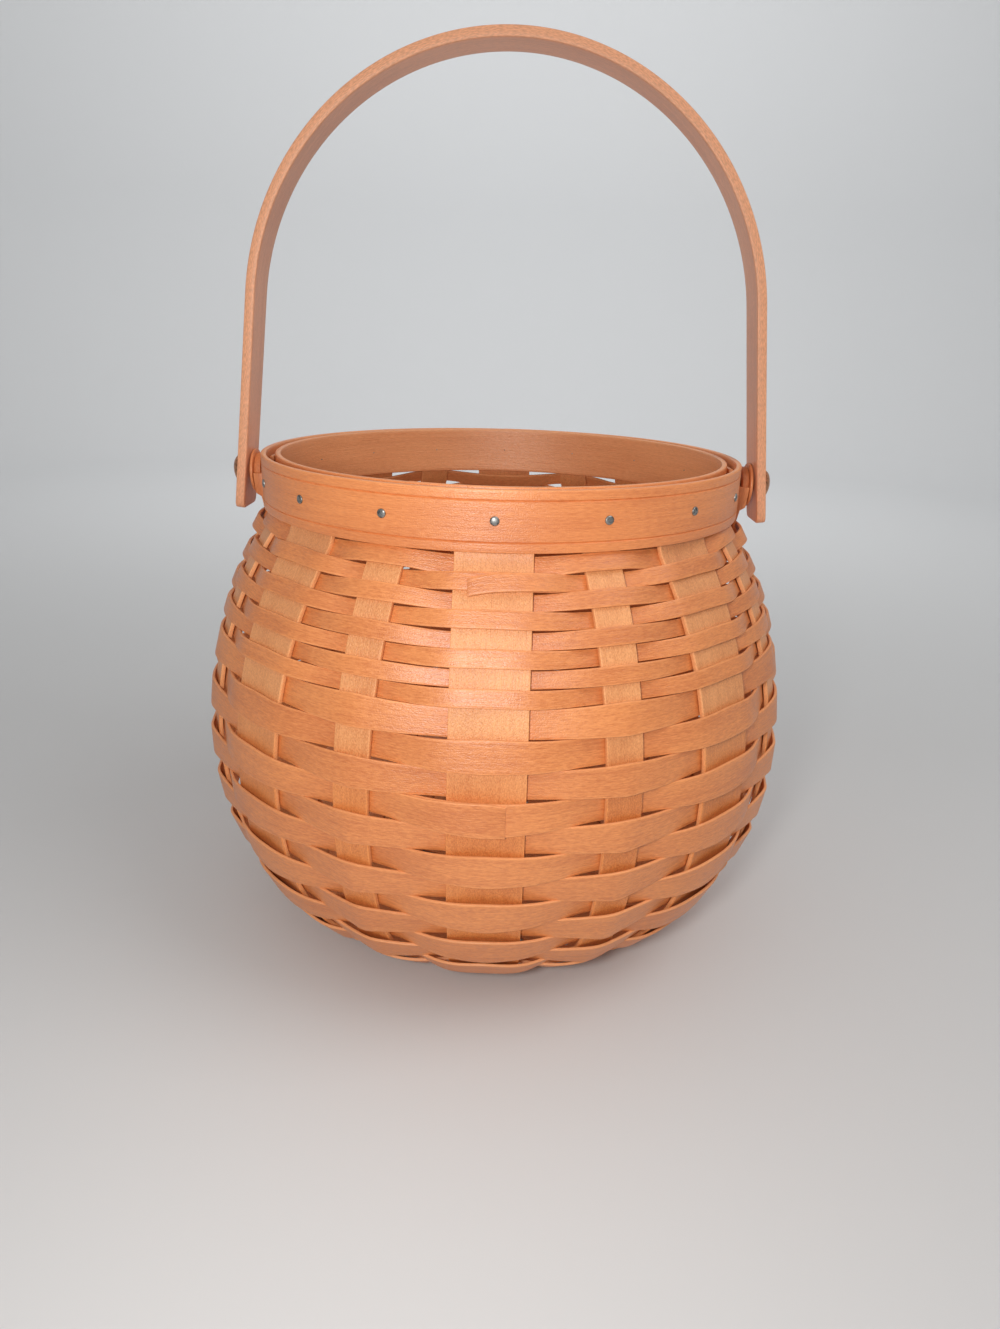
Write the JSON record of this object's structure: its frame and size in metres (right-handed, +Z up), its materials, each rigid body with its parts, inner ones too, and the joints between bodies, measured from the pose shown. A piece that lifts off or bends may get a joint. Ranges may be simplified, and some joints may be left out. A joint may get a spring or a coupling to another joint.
{
  "type": "woven splint basket",
  "caption": "Round-bellied woven wood splint basket with a doubled rim band and a bentwood handle that swings on riveted ears.",
  "frame": {"origin": "on the floor under the middle of the base", "axes": "+Z up, the handle turns about X, the front is -Y"},
  "size_m": [0.2352, 0.2378, 0.3335],
  "materials": {
    "maple_weaver": "smooth shaved maple strip, honey stain, satin",
    "maple_stake": "shaved maple splint, slightly rough and lighter than the weavers",
    "maple_band": "smooth maple band, satin",
    "maple_handle": "bentwood maple, satin",
    "maple_ear": "maple ear and washer, satin",
    "steel_tack": "plain steel tack",
    "copper_rivet": "plain copper rivet, slightly dull"
  },
  "bodies": {
    "basket": {"outer_band": "maple_band", "inner_band": "maple_band", "wide_splint_1": "maple_stake", "wide_splint_2": "maple_stake", "wide_splint_3": "maple_stake", "wide_splint_4": "maple_stake", "narrow_splint_5": "maple_stake", "narrow_splint_6": "maple_stake", "narrow_splint_7": "maple_stake", "narrow_splint_8": "maple_stake", "weaver_01": "maple_weaver", "weaver_02": "maple_weaver", "weaver_03": "maple_weaver", "weaver_04": "maple_weaver", "weaver_05": "maple_weaver", "weaver_06": "maple_weaver", "weaver_07": "maple_weaver", "weaver_08": "maple_weaver", "weaver_09": "maple_weaver", "weaver_10": "maple_weaver", "weaver_11": "maple_weaver", "weaver_12": "maple_weaver", "weaver_13": "maple_weaver", "weaver_14": "maple_weaver", "weaver_15": "maple_weaver", "weaver_16": "maple_weaver", "weaver_17": "maple_weaver", "weaver_18": "maple_weaver", "weaver_19": "maple_weaver", "weaver_20": "maple_weaver", "weaver_21": "maple_weaver", "weaver_22": "maple_weaver", "weaver_23": "maple_weaver", "tack_01": "steel_tack", "tack_02": "steel_tack", "tack_03": "steel_tack", "tack_04": "steel_tack", "tack_06": "steel_tack", "tack_07": "steel_tack", "tack_08": "steel_tack", "tack_09": "steel_tack", "tack_10": "steel_tack", "tack_11": "steel_tack", "tack_12": "steel_tack", "tack_14": "steel_tack", "tack_15": "steel_tack", "tack_16": "steel_tack", "ear_right": "maple_ear", "ear_tack_right": "steel_tack", "washer_right": "maple_ear", "burr_right": "copper_rivet", "ear_left": "maple_ear", "ear_tack_left": "steel_tack", "washer_left": "maple_ear", "burr_left": "copper_rivet"},
    "handle": {"handle": "maple_handle", "rivet_right": "copper_rivet", "rivet_left": "copper_rivet"}
  },
  "joints": [
    {"name": "handle_swing", "type": "hinge", "parent": "basket", "child": "handle", "pos_m": [0, 0, 0.183], "axis": [1, 0, 0], "range_deg": [-112, 112]}
  ]
}
